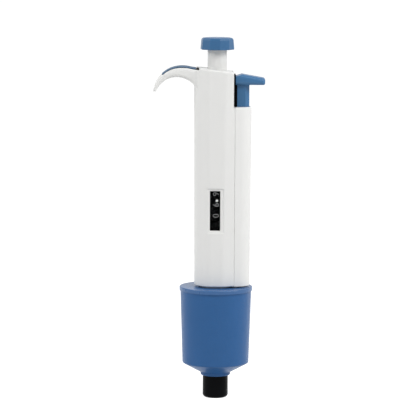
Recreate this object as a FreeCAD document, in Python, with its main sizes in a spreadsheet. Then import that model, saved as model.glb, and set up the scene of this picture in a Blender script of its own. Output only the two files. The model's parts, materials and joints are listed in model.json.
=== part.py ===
import FreeCAD, Part
import math
import os
import Sketcher

# A single-channel mechanical pipette for 2 to 10 ml: a piston pipette with a finger hook, a
# push button that is also the volume dial, a number display and a tip ejector.
# Lengths are in millimetres. +Z runs up the plunger axis, and the origin lies on that axis where
# the cylindrical land of the tip cone begins. The hook is on the -X side, the ejector on the +X
# side and the display on the -Y side.

DRIVING_SIZES = {
    # tip cone: the round land that a 10 ml tip is pushed on to, with a filter in its mouth
    "land_radius": 8.0,
    "land_length": 11.9,
    "mouth_round": 2.2,
    "mouth_bore": 4.6,
    "air_bore": 2.0,
    "cone_neck_radius": 7.6,
    "filter_length": 7.0,
    "filter_inset": 1.0,
    "spigot_radius": 6.0,
    "gasket_thickness": 0.8,
    # ejector sleeve and the ring that closes it
    "collar_bottom": 12.0,
    "collar_radius": 9.4,
    "collar_height": 1.9,
    "collar_edge": 0.8,
    "shoulder_run": 1.6,
    "shoulder_drop": 0.9,
    "shoulder_turn": 0.4,
    "shoulder_round": 1.4,
    "shoulder_rise": 1.0,
    "sleeve_foot_radius": 20.95,
    "sleeve_foot": 20.2,
    "sleeve_mouth_radius": 22.35,
    "sleeve_wall": 1.1,
    "sleeve_flare": 0.5,
    "sleeve_floor": 1.5,
    "ring_radius": 22.95,
    "ring_thickness": 2.5,
    "ring_edge": 0.5,
    "ring_spigot": 1.5,
    "ring_spigot_wall": 0.9,
    "ring_clearance": 0.5,
    "sleeve_gap": 1.0,
    # handle: an egg-shaped section, a large round with a small one beside it
    "handle_bottom": 69.7,
    "handle_radius": 13.8,
    "nose_radius": 9.8,
    "nose_room": 1.9,
    "handle_draft": 0.25,
    "handle_wall": 1.8,
    "floor_thickness": 2.3,
    "ledge_height": 182.3,
    "ledge_wall": 2.0,
    "ledge_round": 0.8,
    "shell_top_high": 206.9,
    "shell_top_low": 203.9,
    "top_cap_depth": 4.0,
    "seam_inset": 2.5,
    "seam_gap": 0.15,
    "face_depth": 0.5,
    # finger hook: drops are measured down from its crown, reaches out from the plunger axis
    "hook_width": 17.0,
    "hook_reach": 40.0,
    "hook_tip_height": 191.9,
    "hook_tip_width": 2.1,
    "hook_crown": 207.0,
    "hook_root_depth": 4.8,
    "hook_root_drop": 1.3,
    "hook_rise_stand_off": 2.6,
    "hook_rise_drop": 0.3,
    "hook_bend_reach": 29.0,
    "hook_bend_drop": 0.9,
    "hook_top_bend": 20.0,
    "hook_side_bend": 18.0,
    "hook_under_reach": 26.4,
    "hook_under_drop": 5.7,
    "hook_under_side_bend": 11.5,
    "hook_under_top_bend": 12.0,
    "web_start_drop": 13.2,
    "web_stand_off": 0.8,
    "web_sink": 0.6,
    "hook_web_depth": 17.0,
    "pad_thickness": 1.2,
    "pad_reach": 34.8,
    "pad_notch": 1.8,
    "pad_end_inset": 0.8,
    "pad_end_drop": 0.75,
    "pad_margin": 0.5,
    # display window and counter
    "window_width": 6.3,
    "window_offset": 0.9,
    "window_bottom": 105.3,
    "window_height": 24.8,
    "bezel_margin": 2.3,
    "bezel_lip": 1.3,
    "bezel_depth": 0.5,
    "lens_thickness": 0.8,
    "lens_margin": 1.0,
    "lens_rise": 0.7,
    "wheel_radius": 10.6,
    "wheel_height": 6.4,
    "wheel_pitch": 6.8,
    "wheel_rim": 1.3,
    "wheel_hub_wall": 1.6,
    "wheel_web": 1.6,
    "wheel_gap": 0.35,
    "notch_size": 0.7,
    "notch_width": 1.0,
    "lowest_wheel": 111.3,
    "drum_space": 8.5,
    "drive_gap": 1.1,
    "spindle_radius": 4.4,
    "pinion_radius": 2.3,
    "pinion_height": 3.6,
    "pinion_room": 4.5,
    "tooth_height": 0.8,
    "tooth_width": 0.7,
    "shaft_radius": 0.9,
    "shaft_along": 12.2,
    "shaft_behind": 5.0,
    "lug_start": 8.0,
    "lug_width": 3.2,
    "frame_wall_start": 3.5,
    "plate_thickness": 1.5,
    # volume screw, its retainer, and the stop nut that it raises
    "screw_radius": 7.0,
    "screw_length": 21.0,
    "thread_depth": 0.7,
    "thread_pitch": 2.0,
    "tail_radius": 6.8,
    "tail_clearance": 0.5,
    "flange_rim": 3.5,
    "flange_thickness": 2.6,
    "retainer_lap": 1.1,
    "retainer_gap": 0.15,
    "retainer_thickness": 1.0,
    "nut_height": 5.0,
    "nut_radius": 11.4,
    "nut_edge": 0.8,
    "nut_slot_width": 3.0,
    "nut_slot_depth": 1.6,
    "nut_rest": 7.3,
    "nut_rise": 4.71,
    "washer_gap": 3.0,
    "washer_thickness": 1.0,
    "blowout_wire": 0.3,
    # push button and plunger
    "stem_radius": 6.05,
    "stem_edge": 0.6,
    "guide_height": 9.8,
    "skirt_gap": 1.2,
    "skirt_wall": 1.6,
    "skirt_depth": 3.7,
    "skirt_roof": 3.0,
    "skirt_slope": 2.5,
    "rod_socket": 7.0,
    "button_radius": 10.75,
    "button_bottom": 217.8,
    "button_height": 7.5,
    "button_bevel": 1.9,
    "button_roof": 3.0,
    "button_foot_round": 0.5,
    "rod_radius": 3.2,
    "stroke": 11.2,
    "blowout_travel": 1.6,
    "spring_radius": 6.2,
    "spring_wire": 0.55,
    "spring_collar_height": 4.0,
    "collar_gap": 0.4,
    "collar_rim": 1.2,
    "collar_rim_height": 1.6,
    "collar_boss": 5.0,
    # piston, its cylinder and the cap whose neck holds them in the handle
    "piston_height": 8.0,
    "piston_floor": 2.0,
    "piston_crown": 3.0,
    "piston_edge": 0.5,
    "piston_spare": 1.0,
    "seal_width": 3.4,
    "seal_height": 2.6,
    "seal_retainer_height": 2.2,
    "cylinder_bore": 18.2,
    "cylinder_wall": 1.2,
    "cylinder_edge": 1.2,
    "cylinder_bottom": 22.5,
    "cylinder_floor": 2.5,
    "cylinder_top": 52.0,
    "cap_plug": 1.5,
    "cap_flange": 3.3,
    "cap_floor": 4.0,
    "neck_radius": 10.5,
    "neck_wall": 1.6,
    "neck_rise": 6.3,
    "coupling_height": 4.0,
    # tip ejector
    "ejector_travel": 9.0,
    "thumb_bottom": 196.0,
    "thumb_reach": 30.0,
    "thumb_width": 14.0,
    "thumb_edge": 1.2,
    "thumb_end_flat": 3.0,
    "thumb_end_round": 1.4,
    "thumb_end_height": 4.35,
    "thumb_peak_along": 4.0,
    "thumb_peak": 6.7,
    "thumb_root_height": 5.4,
    "thumb_corner": 2.2,
    "runner_thickness": 1.0,
    "runner_width": 7.0,
    "ejector_stem_width": 7.6,
    "ejector_stem_depth": 8.6,
    "ejector_stem_bevel": 2.5,
    "ejector_socket": 8.0,
    "ejector_rod_stand_off": 1.5,
    "ejector_rod_radius": 2.0,
    "ejector_wire": 0.35,
    "ejector_wire_gap": 0.2,
    "ejector_spring_length": 19.8,
    "ejector_shelf": 148.0,
    "shelf_thickness": 2.0,
    # clearances
    "slide_fit": 0.3,
    "snug_fit": 0.1,
    "close_fit": 0.05,
    "press_fit": 0.02,
    "end_gap": 1.0,
}

# Counts, the push button's turn in degrees at rest, and shares of a bevel and of a notch.
BUTTON_SIDES = 10
BUTTON_TURN = -81.1
BEVEL_SHARE = 0.8
NOTCH_SLOPE = 0.7
ROD_SIDES = 6
THREAD_RIDGES = 9
WHEEL_TEETH = 20
PINION_TEETH = 8
SPRING_TURNS = 7
BLOWOUT_TURNS = 2
EJECTOR_TURNS = 11
# Lengths below these count as nothing when a level, an edge or a cut is tested.
TOUCH = 0.01
LEVEL_TOUCH = 1e-4

doc = FreeCAD.newDocument("pipette")
sheet = doc.addObject("Spreadsheet::Sheet", "sizes")
for row, (name, number) in enumerate(DRIVING_SIZES.items(), start=1):
    sheet.set(f"A{row}", name.replace("_", " "))
    sheet.set(f"B{row}", f"{number}")
    sheet.setAlias(f"B{row}", name)
doc.recompute()


class Size:
    """A length with its number and the sheet expression that gives it."""

    def __init__(self, number, text):
        self.number = number
        self.text = text

    def __add__(self, other):
        other = as_size(other)
        return Size(self.number + other.number, f"({self.text} + {other.text})")

    def __sub__(self, other):
        other = as_size(other)
        return Size(self.number - other.number, f"({self.text} - {other.text})")

    def __mul__(self, other):
        other = as_size(other)
        return Size(self.number * other.number, f"({self.text} * {other.text})")

    def __truediv__(self, other):
        other = as_size(other)
        return Size(self.number / other.number, f"({self.text} / {other.text})")

    def __neg__(self):
        return Size(-self.number, f"(0 - {self.text})")

    def root(self):
        return Size(math.sqrt(self.number), f"sqrt({self.text})")


def as_size(value):
    if isinstance(value, Size):
        return value
    return Size(float(value), f"({value:g})")


class Sheet:
    """Gives each cell of the sheet as a Size by its name."""

    def __getattr__(self, name):
        return Size(DRIVING_SIZES[name], f"sizes.{name}")


of = Sheet()
ZERO = as_size(0)
subparts = []


def bind(item, prop, value):
    item.setExpression(prop, as_size(value).text)


def new_body(label, at=(0, 0, 0)):
    """An empty body whose placement is bound to the sheet."""
    body = doc.addObject("PartDesign::Body", label)
    body.Label = label
    for axis, value in zip("xyz", at):
        bind(body, f"Placement.Base.{axis}", value)
    subparts.append(body)
    return body


def new_sketch(body, name, role, offset=0):
    """A sketch on one of the body's own origin planes, moved along the plane's normal."""
    sketch = body.newObject("Sketcher::SketchObject", name)
    plane = next(f for f in body.Origin.OriginFeatures if f.Role == role)
    sketch.AttachmentSupport = (plane, "")
    sketch.MapMode = "FlatFace"
    bind(sketch, "AttachmentOffset.Base.z", offset)
    return sketch


def pin_point(sketch, geometry, point, x, y):
    """Fixes one point of a sketch at two sheet values."""
    for kind, value, axis in (("DistanceX", x, -2), ("DistanceY", y, -1)):
        if value.number == 0 and value.text in (ZERO.text, "(0)"):
            sketch.addConstraint(Sketcher.Constraint("PointOnObject", geometry, point, axis))
            continue
        index = sketch.addConstraint(
            Sketcher.Constraint(kind, -1, 1, geometry, point, value.number)
        )
        bind(sketch, f"Constraints[{index}]", value)


def arc_centre(start, end, radius):
    """Centre of the arc from start to end: to the left of the chord for a positive radius."""
    chord = FreeCAD.Vector(end[0] - start[0], end[1] - start[1], 0)
    middle = FreeCAD.Vector((start[0] + end[0]) / 2, (start[1] + end[1]) / 2, 0)
    rise = math.sqrt(radius * radius - chord.Length ** 2 / 4)
    side = FreeCAD.Vector(-chord.y, chord.x, 0).normalize()
    return middle + side * math.copysign(rise, radius)


def outline(sketch, corners):
    """A closed outline through corners (x, y), or (x, y, radius) where the next edge is an arc.

    The arc's centre lies to the left of its direction of travel for a positive radius."""
    points = [(as_size(c[0]), as_size(c[1])) for c in corners]
    edges = []
    for i, corner in enumerate(corners):
        start = (points[i][0].number, points[i][1].number)
        end_point = points[(i + 1) % len(points)]
        end = (end_point[0].number, end_point[1].number)
        if len(corner) == 2:
            line = Part.LineSegment(FreeCAD.Vector(*start, 0), FreeCAD.Vector(*end, 0))
            edges.append((sketch.addGeometry(line), 1, 2, None))
            continue
        radius = as_size(corner[2])
        centre = arc_centre(start, end, radius.number)
        circle = Part.Circle(centre, FreeCAD.Vector(0, 0, 1), abs(radius.number))
        first = math.atan2(start[1] - centre.y, start[0] - centre.x)
        last = math.atan2(end[1] - centre.y, end[0] - centre.x)
        if radius.number < 0:
            first, last = last, first
        index = sketch.addGeometry(Part.ArcOfCircle(circle, first, last))
        ends = (1, 2) if radius.number > 0 else (2, 1)
        edges.append((index, *ends, radius))
    for i, (edge, first, last, radius) in enumerate(edges):
        following = edges[(i + 1) % len(edges)]
        joint = Sketcher.Constraint("Coincident", edge, last, following[0], following[1])
        sketch.addConstraint(joint)
        pin_point(sketch, edge, first, *points[i])
        if radius is not None:
            number = abs(radius.number)
            index = sketch.addConstraint(Sketcher.Constraint("Radius", edge, number))
            bind(sketch, f"Constraints[{index}]", radius if radius.number > 0 else -radius)


def ring(sketch, radius, x=ZERO, y=ZERO):
    """A circle whose radius and centre are bound to the sheet."""
    x, y, radius = as_size(x), as_size(y), as_size(radius)
    centre = FreeCAD.Vector(x.number, y.number, 0)
    index = sketch.addGeometry(Part.Circle(centre, FreeCAD.Vector(0, 0, 1), radius.number))
    constraint = sketch.addConstraint(Sketcher.Constraint("Radius", index, radius.number))
    bind(sketch, f"Constraints[{constraint}]", radius)
    pin_point(sketch, index, 3, x, y)


def polygon(sketch, sides, radius, turn=0.0):
    """A regular polygon about the sketch's origin, with its corners at the given radius."""
    corners = []
    for k in range(sides):
        angle = math.radians(turn + 360 / sides * k)
        corners.append((radius * round(math.cos(angle), 9), radius * round(math.sin(angle), 9)))
    outline(sketch, corners)


def box_outline(sketch, left, right, low, high):
    outline(sketch, [(left, low), (right, low), (right, high), (left, high)])


def egg(sketch, inset):
    """The handle's section, a large and a small round joined by their common tangents."""
    big = of.handle_radius - inset
    small = of.nose_radius - inset
    sine = (big - small) / nose_offset
    cosine = (as_size(1) - sine * sine).root()
    nose = nose_offset + small * sine
    corners = [
        (big * sine, -(big * cosine)),
        (nose, -(small * cosine), small),
        (nose, small * cosine),
        (big * sine, big * cosine, big),
        (-big, ZERO, big),
    ]
    outline(sketch, corners)


def raise_pad(body, sketch, length, name, both=False, taper=None):
    pad = body.newObject("PartDesign::Pad", name)
    pad.Profile = sketch
    if both:
        pad.Midplane = True
    bind(pad, "Length", length)
    if taper is not None:
        bind(pad, "TaperAngle", taper)
    sketch.Visibility = False
    return pad


def cut_pocket(body, sketch, length, name, both=False):
    """A pocket against the sketch's normal, which has to take material away."""
    doc.recompute()
    before = body.Shape.Volume
    pocket = body.newObject("PartDesign::Pocket", name)
    pocket.Profile = sketch
    if both:
        pocket.Midplane = True
    bind(pocket, "Length", length)
    doc.recompute()
    if body.Shape.Volume > before - LEVEL_TOUCH:
        raise RuntimeError(f"{name} cuts nothing")
    return pocket


def turn(body, corners, name):
    """A full revolution about the body's Z axis of an outline given as (radius, height)."""
    sketch = new_sketch(body, f"{name}_profile", "XZ_Plane")
    outline(sketch, corners)
    revolution = body.newObject("PartDesign::Revolution", name)
    revolution.Profile = sketch
    revolution.ReferenceAxis = (sketch, ["V_Axis"])
    revolution.Angle = 360
    return revolution


def tube(label, inner, outer, length, at):
    """A plain ring or tube on the plunger axis."""
    body = new_body(label, at)
    turn(body, [(inner, ZERO), (outer, ZERO), (outer, length), (inner, length)], f"{label}_ring")
    return body


def round_edges(body, radius, name, chosen):
    """Fillets the edges of the body's last feature that the test picks out."""
    doc.recompute()
    base = body.Tip
    picked = [f"Edge{i + 1}" for i, e in enumerate(base.Shape.Edges) if chosen(e)]
    if not picked:
        raise RuntimeError(f"{name} finds no edge")
    feature = body.newObject("PartDesign::Fillet", name)
    feature.Base = (base, picked)
    bind(feature, "Radius", radius)
    doc.recompute()
    return feature


def level(edge, height):
    """True for an edge that lies at one height."""
    box = edge.BoundBox
    return abs(box.ZMin - height) < LEVEL_TOUCH and abs(box.ZMax - height) < LEVEL_TOUCH


def pattern(body, feature, count, name):
    """Repeats a feature round the body's Z axis."""
    polar = body.newObject("PartDesign::PolarPattern", name)
    polar.Originals = [feature]
    axis = next(f for f in body.Origin.OriginFeatures if f.Role == "Z_Axis")
    polar.Axis = (axis, [""])
    polar.Angle = 360
    polar.Occurrences = count
    body.Tip = polar
    doc.recompute()
    return polar


def coil_spring(label, radius, wire, length, turns, at):
    """A round-wire compression spring that stands between two levels."""
    path = doc.addObject("Part::Helix", f"{label}_path")
    bind(path, "Radius", radius)
    bind(path, "Height", length - wire * 2)
    bind(path, "Pitch", (length - wire * 2) / turns)
    bind(path, "Placement.Base.x", at[0])
    bind(path, "Placement.Base.y", at[1])
    bind(path, "Placement.Base.z", at[2] + wire)
    section = doc.addObject("Sketcher::SketchObject", f"{label}_section")
    quarters = [(wire, ZERO), (ZERO, wire), (-wire, ZERO), (ZERO, -wire)]
    outline(section, [(*quarter, wire) for quarter in quarters])
    section.Placement.Rotation = FreeCAD.Rotation(FreeCAD.Vector(1, 0, 0), 90)
    bind(section, "Placement.Base.x", as_size(at[0]) + radius)
    bind(section, "Placement.Base.y", at[1])
    bind(section, "Placement.Base.z", at[2] + wire)
    sweep = doc.addObject("Part::Sweep", label)
    sweep.Label = label
    sweep.Sections = [section]
    sweep.Spine = (path, [])
    sweep.Solid = True
    sweep.Frenet = True
    subparts.append(sweep)
    return sweep


# How far a cut starts outside the solid that it opens, and a distance outside the whole handle.
OVERCUT = as_size(5)
OUTSIDE = as_size(40)

# Levels and radii that several pieces share, worked out from the driving sizes.
seam = of.handle_radius - of.seam_inset
ring_top = of.handle_bottom - of.sleeve_gap
ring_bottom = ring_top - of.ring_thickness
neck_top = of.handle_bottom + of.neck_rise
spring_seat = of.cylinder_top - of.cap_plug + of.cap_floor
cone_top = of.cylinder_bottom - of.gasket_thickness
floor_top = of.handle_bottom + of.floor_thickness
piston_radius = of.cylinder_bore - of.slide_fit
piston_rest = of.cylinder_bottom + of.cylinder_floor + of.stroke + of.piston_spare
wheel_levels = [of.lowest_wheel + of.wheel_pitch * k for k in range(3)]
wheels_top = wheel_levels[2] + of.wheel_height
counter_bottom = of.lowest_wheel - of.drum_space
counter_top = wheels_top + of.drive_gap
flange_bottom = counter_top + of.plate_thickness + of.snug_fit
flange_top = flange_bottom + of.flange_thickness
flange_radius = of.screw_radius + of.flange_rim
screw_top = flange_top + of.screw_length
nut_bottom = flange_top + of.nut_rest
nut_top = nut_bottom + of.nut_height
skirt_bore = of.screw_radius + of.skirt_gap
skirt_radius = skirt_bore + of.skirt_wall
washer_bottom = nut_top + of.washer_gap
washer_top = washer_bottom + of.washer_thickness
skirt_bottom = washer_top + of.nut_rise + of.stroke - of.blowout_travel + of.slide_fit
shell_inner = of.handle_radius - of.handle_wall
shell_face = of.handle_radius - of.face_depth
ejector_rod_along = shell_inner + of.ejector_rod_stand_off + of.ejector_rod_radius
nose_inner = of.nose_radius - of.handle_wall
nose_offset = ejector_rod_along + of.ejector_rod_radius + of.nose_room - nose_inner
hook_root = of.handle_radius - of.hook_root_depth
chamber_top = of.ledge_height - of.ledge_wall
cap_edge = seam - of.handle_wall
top_cap_bottom = of.shell_top_low - of.top_cap_depth
stem_hole = of.stem_radius + of.slide_fit
shelf_top = of.ejector_shelf + of.shelf_thickness
ejector_stem_bottom = shelf_top + of.ejector_spring_length + of.snug_fit * 2
thumb_left = seam + of.slide_fit
ejector_stem_left = thumb_left + of.runner_thickness
sleeve_inner = of.sleeve_foot_radius - of.sleeve_wall
sleeve_mouth_inner = sleeve_inner + of.sleeve_flare


def at_height(level_on_axis):
    return (ZERO, ZERO, level_on_axis)


def slope_cut(body, name):
    """Takes off all that stands above the handle's sloping top."""
    sketch = new_sketch(body, f"{name}_outline", "XZ_Plane")
    run = OUTSIDE * 1.5
    fall = (of.shell_top_high - of.shell_top_low) / (of.handle_radius + seam)
    left_height = of.shell_top_high + fall * (run - of.handle_radius)
    right_height = of.shell_top_high - fall * (run + of.handle_radius)
    above = of.shell_top_high + OUTSIDE
    outline(sketch, [(-run, left_height), (run, right_height), (run, above), (-run, above)])
    return cut_pocket(body, sketch, OUTSIDE * 2, name, both=True)


def arc_middle(start, end, radius):
    """Centre of an arc that turns left from start to end, as sheet values."""
    across = end[0] - start[0]
    up = end[1] - start[1]
    chord = (across * across + up * up).root()
    rise = (radius * radius - chord * chord / 4).root()
    x = (start[0] + end[0]) / 2 - up / chord * rise
    y = (start[1] + end[1]) / 2 + across / chord * rise
    return x, y


def sink(point, centre, radius, depth):
    """The point moved by a depth towards the centre of its arc."""
    share = depth / radius
    x = point[0] + (centre[0] - point[0]) * share
    y = point[1] + (centre[1] - point[1]) * share
    return x, y


def hook_points():
    """Corners of the hook's outer edge: beside the handle, start of the bend, bend and tip."""
    crown = of.hook_crown
    root = (-(of.handle_radius - of.pad_end_inset), crown - of.pad_end_drop)
    rise = (-(of.handle_radius + of.hook_rise_stand_off), crown - of.hook_rise_drop)
    bend = (-of.hook_bend_reach, crown - of.hook_bend_drop)
    tip = (-of.hook_reach, of.hook_tip_height)
    return root, rise, bend, tip


def strip_outline(sketch, depth, gap, notch=ZERO):
    """The soft strip's side view: it follows the hook's outer edge part of the way round.

    The notch carries the outline on past the strip's end, down along the same slope."""
    root, rise, bend, tip = hook_points()
    top = of.hook_top_bend
    side = of.hook_side_bend
    top_middle = arc_middle(rise, bend, top)
    side_middle = arc_middle(bend, tip, side)
    end_x = -of.pad_reach + gap
    run = end_x - side_middle[0]
    end = (end_x, side_middle[1] + (side * side - run * run).root())
    inner_end = root[0] - gap + notch
    fall = (rise[1] - root[1]) / (root[0] - rise[0])
    outline(
        sketch,
        [
            (inner_end, root[1] + notch * NOTCH_SLOPE),
            (*rise, top),
            (*bend, side),
            end,
            (*sink(end, side_middle, side, depth), -(side - depth)),
            (*sink(bend, top_middle, top, depth), -(top - depth)),
            sink(rise, top_middle, top, depth),
            (inner_end, root[1] - depth - notch * fall),
        ],
    )


def make_hook(body):
    """The finger hook: a crescent that leaves the handle's back and turns down at its tip."""
    sketch = new_sketch(body, "hook_outline", "XZ_Plane")
    crown = of.hook_crown
    tip = of.hook_tip_height
    rise, bend = hook_points()[1:3]
    web_foot = crown - of.hook_web_depth
    outline(
        sketch,
        [
            (-hook_root, web_foot),
            (-hook_root, crown - of.hook_root_drop),
            (*rise, of.hook_top_bend),
            (*bend, of.hook_side_bend),
            (-of.hook_reach, tip),
            (-(of.hook_reach - of.hook_tip_width), tip, -of.hook_under_side_bend),
            (-of.hook_under_reach, crown - of.hook_under_drop, -of.hook_under_top_bend),
            (-(of.handle_radius + of.web_stand_off), crown - of.web_start_drop),
            (-(of.handle_radius - of.web_sink), web_foot),
        ],
    )
    raise_pad(body, sketch, of.hook_width, "hook_block", both=True)


def add_main_shell():
    """The handle's front and back in one moulding, open towards the ejector cover."""
    body = new_body("main_shell")
    make_hook(body)
    section = new_sketch(body, "shell_section", "XY_Plane", of.handle_bottom)
    egg(section, ZERO)
    tall = of.shell_top_high - of.handle_bottom + OVERCUT
    raise_pad(body, section, tall, "shell_pad", taper=of.handle_draft)

    above = of.shell_top_high + OVERCUT * 2
    slot = new_sketch(body, "seam_outline", "XY_Plane", above)
    box_outline(slot, seam, OUTSIDE, -OUTSIDE, OUTSIDE)
    cut_pocket(body, slot, above, "seam_cut")

    chamber = new_sketch(body, "chamber_outline", "XY_Plane", chamber_top)
    egg(chamber, of.handle_wall)
    cut_pocket(body, chamber, chamber_top - floor_top, "chamber")

    shaft = new_sketch(body, "upper_outline", "XY_Plane", above)
    column_outline(shaft, shell_inner, cap_edge)
    cut_pocket(body, shaft, above - chamber_top + of.snug_fit, "upper_chamber")

    slope_cut(body, "sloping_top")
    groove = new_sketch(body, "strip_groove_side", "XZ_Plane")
    strip_outline(groove, of.pad_thickness, ZERO, of.pad_notch)
    cut_pocket(body, groove, of.hook_width + OVERCUT * 2, "strip_groove", both=True)

    neck_hole = new_sketch(body, "neck_outline", "XY_Plane", floor_top + OVERCUT)
    ring(neck_hole, of.neck_radius + of.snug_fit)
    cut_pocket(body, neck_hole, of.floor_thickness + OVERCUT * 2, "neck_hole")
    add_window(body)


def column_outline(sketch, radius, flat):
    """A round cut off by a flat on its +X side."""
    reach = (radius * radius - flat * flat).root()
    outline(sketch, [(flat, -reach), (flat, reach, radius), (-radius, ZERO, radius)])


def window_sides(margin):
    """The display window's left, right, lower and upper edges, each moved out by a margin."""
    half = of.window_width / 2 + margin
    top = of.window_bottom + of.window_height
    return -of.window_offset - half, half - of.window_offset, of.window_bottom - margin, top + margin


def add_window(body):
    """The flat face strip, the display's shallow bezel and the opening behind it."""
    front = shell_face + OVERCUT
    strip = new_sketch(body, "strip_outline", "XZ_Plane", front)
    side = of.handle_radius
    box_outline(strip, -side, side, of.handle_bottom - OVERCUT, of.ledge_height + OUTSIDE)
    cut_pocket(body, strip, OVERCUT, "face_strip")

    bezel = new_sketch(body, "bezel_outline", "XZ_Plane", front)
    left, right = window_sides(of.bezel_margin)[:2]
    low, high = window_sides(of.bezel_lip)[2:]
    box_outline(bezel, left, right, low, high)
    cut_pocket(body, bezel, of.bezel_depth + OVERCUT, "bezel")

    opening = new_sketch(body, "opening_outline", "XZ_Plane", front)
    box_outline(opening, *window_sides(ZERO))
    cut_pocket(body, opening, of.handle_wall + OVERCUT * 2, "window_opening")

    seat = new_sketch(body, "lens_seat_outline", "XZ_Plane", shell_inner)
    left, right = window_sides(of.lens_margin + of.snug_fit)[:2]
    box_outline(seat, left, right, low, high)
    cut_pocket(body, seat, OVERCUT, "lens_seat")


def add_ejector_cover():
    """The narrow shell beside the seam, which guides the ejector and closes the handle."""
    body = new_body("ejector_cover")
    section = new_sketch(body, "cover_section", "XY_Plane", of.handle_bottom)
    egg(section, ZERO)
    tall = of.ledge_height - of.handle_bottom
    raise_pad(body, section, tall, "cover_pad", taper=of.handle_draft)

    above = of.ledge_height + OVERCUT
    split = new_sketch(body, "split_outline", "XY_Plane", above)
    box_outline(split, -OUTSIDE, seam + of.seam_gap, -OUTSIDE, OUTSIDE)
    cut_pocket(body, split, above, "split_cut")
    round_edges(body, of.ledge_round, "ledge_edge", lambda e: level(e, of.ledge_height.number))

    upper = new_sketch(body, "upper_outline", "XY_Plane", chamber_top)
    egg(upper, of.handle_wall)
    cut_pocket(body, upper, chamber_top - shelf_top, "upper_chamber")
    lower = new_sketch(body, "lower_outline", "XY_Plane", of.ejector_shelf)
    egg(lower, of.handle_wall)
    cut_pocket(body, lower, of.ejector_shelf - floor_top, "lower_chamber")

    mouth = new_sketch(body, "mouth_outline", "XY_Plane", above)
    stem_outline(mouth, seam - OVERCUT, of.slide_fit)
    mouth_depth = above - ejector_stem_bottom + of.ejector_travel + of.end_gap
    cut_pocket(body, mouth, mouth_depth, "stem_mouth")

    hole = new_sketch(body, "rod_hole_outline", "XY_Plane", shelf_top + OVERCUT)
    ring(hole, of.ejector_rod_radius + of.slide_fit, ejector_rod_along)
    cut_pocket(body, hole, shelf_top + OVERCUT * 2 - of.handle_bottom, "rod_hole")


def stem_outline(sketch, left, grow):
    """The ejector stem's section: a block with its two outer corners cut off."""
    right = ejector_stem_left + of.ejector_stem_width + grow
    half = of.ejector_stem_depth / 2 + grow
    bevel = of.ejector_stem_bevel
    outline(
        sketch,
        [
            (left, -half),
            (right - bevel, -half),
            (right, -(half - bevel)),
            (right, half - bevel),
            (right - bevel, half),
            (left, half),
        ],
    )


def add_top_cap():
    """The plug that closes the handle round the plunger, flush with the sloping top."""
    body = new_body("top_cap")
    above = of.shell_top_high + OVERCUT
    section = new_sketch(body, "cap_section", "XY_Plane", top_cap_bottom)
    column_outline(section, shell_inner - of.snug_fit, cap_edge - of.snug_fit)
    raise_pad(body, section, above - top_cap_bottom, "cap_pad")
    slope_cut(body, "cap_slope")
    hole = new_sketch(body, "stem_hole_outline", "XY_Plane", above)
    ring(hole, stem_hole)
    cut_pocket(body, hole, OUTSIDE, "stem_hole")


def add_hook_pad():
    """The soft strip let into the top of the finger hook."""
    body = new_body("hook_pad")
    sketch = new_sketch(body, "strip_side", "XZ_Plane")
    strip_outline(sketch, of.pad_thickness - of.snug_fit, of.snug_fit)
    raise_pad(body, sketch, of.hook_width - of.pad_margin * 2, "strip_block", both=True)


def add_window_lens():
    """The clear window: a flanged plate seated inside the shell, standing in the opening."""
    body = new_body("window_lens")
    inner = shell_inner - of.snug_fit
    flange = new_sketch(body, "flange_outline", "XZ_Plane", inner)
    box_outline(flange, *window_sides(of.lens_margin))
    pad = raise_pad(body, flange, of.lens_thickness, "flange_pad")
    pad.Reversed = True
    pane = new_sketch(body, "pane_outline", "XZ_Plane", inner - of.lens_thickness / 2)
    box_outline(pane, *window_sides(-of.snug_fit))
    raise_pad(body, pane, of.lens_thickness / 2 + of.lens_rise, "pane_pad")


def add_push_button():
    """The ten-sided thumb knob, cored out below for the stem."""
    body = new_body("push_button", at_height(of.button_bottom))
    section = new_sketch(body, "knob_section", "XY_Plane")
    polygon(section, BUTTON_SIDES, of.button_radius, turn=BUTTON_TURN)
    raise_pad(body, section, of.button_height, "knob_pad")
    bevel = new_sketch(body, "bevel_profile", "XZ_Plane")
    top = of.button_height
    run = of.button_bevel * BEVEL_SHARE
    outer = of.button_radius + OVERCUT
    outline(
        bevel,
        [
            (of.button_radius - run, top, -of.button_bevel),
            (of.button_radius, top - run),
            (outer, top - run),
            (outer, top + OVERCUT),
            (of.button_radius - run, top + OVERCUT),
        ],
    )
    groove = body.newObject("PartDesign::Groove", "bevel")
    groove.Profile = bevel
    groove.ReferenceAxis = (bevel, ["V_Axis"])
    groove.Angle = 360
    socket = new_sketch(body, "socket_outline", "XY_Plane", of.button_height - of.button_roof)
    ring(socket, of.stem_radius + of.snug_fit)
    cut_pocket(body, socket, of.button_height, "socket")
    round_edges(body, of.button_foot_round, "foot_round", is_foot_edge)


def is_foot_edge(edge):
    """True for a straight edge round the foot of the knob."""
    return level(edge, 0) and not isinstance(edge.Curve, Part.Circle)


def add_plunger_stem():
    """The white stem under the button, with the flanged skirt that meets the stop."""
    body = new_body("plunger_stem", at_height(skirt_bottom))
    base = of.skirt_depth
    top = of.button_bottom + of.button_height - of.button_roof - of.snug_fit - skirt_bottom
    bore = of.rod_radius + of.snug_fit
    turn(
        body,
        [
            (skirt_bore, ZERO),
            (skirt_radius, ZERO),
            (skirt_radius, base + of.skirt_roof),
            (of.stem_radius, base + of.skirt_roof + of.skirt_slope),
            (of.stem_radius, top - of.stem_edge),
            (of.stem_radius - of.stem_edge, top),
            (ZERO, top),
            (ZERO, base + of.rod_socket),
            (bore, base + of.rod_socket),
            (bore, base),
            (skirt_bore, base),
        ],
        "stem_turned",
    )


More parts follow.
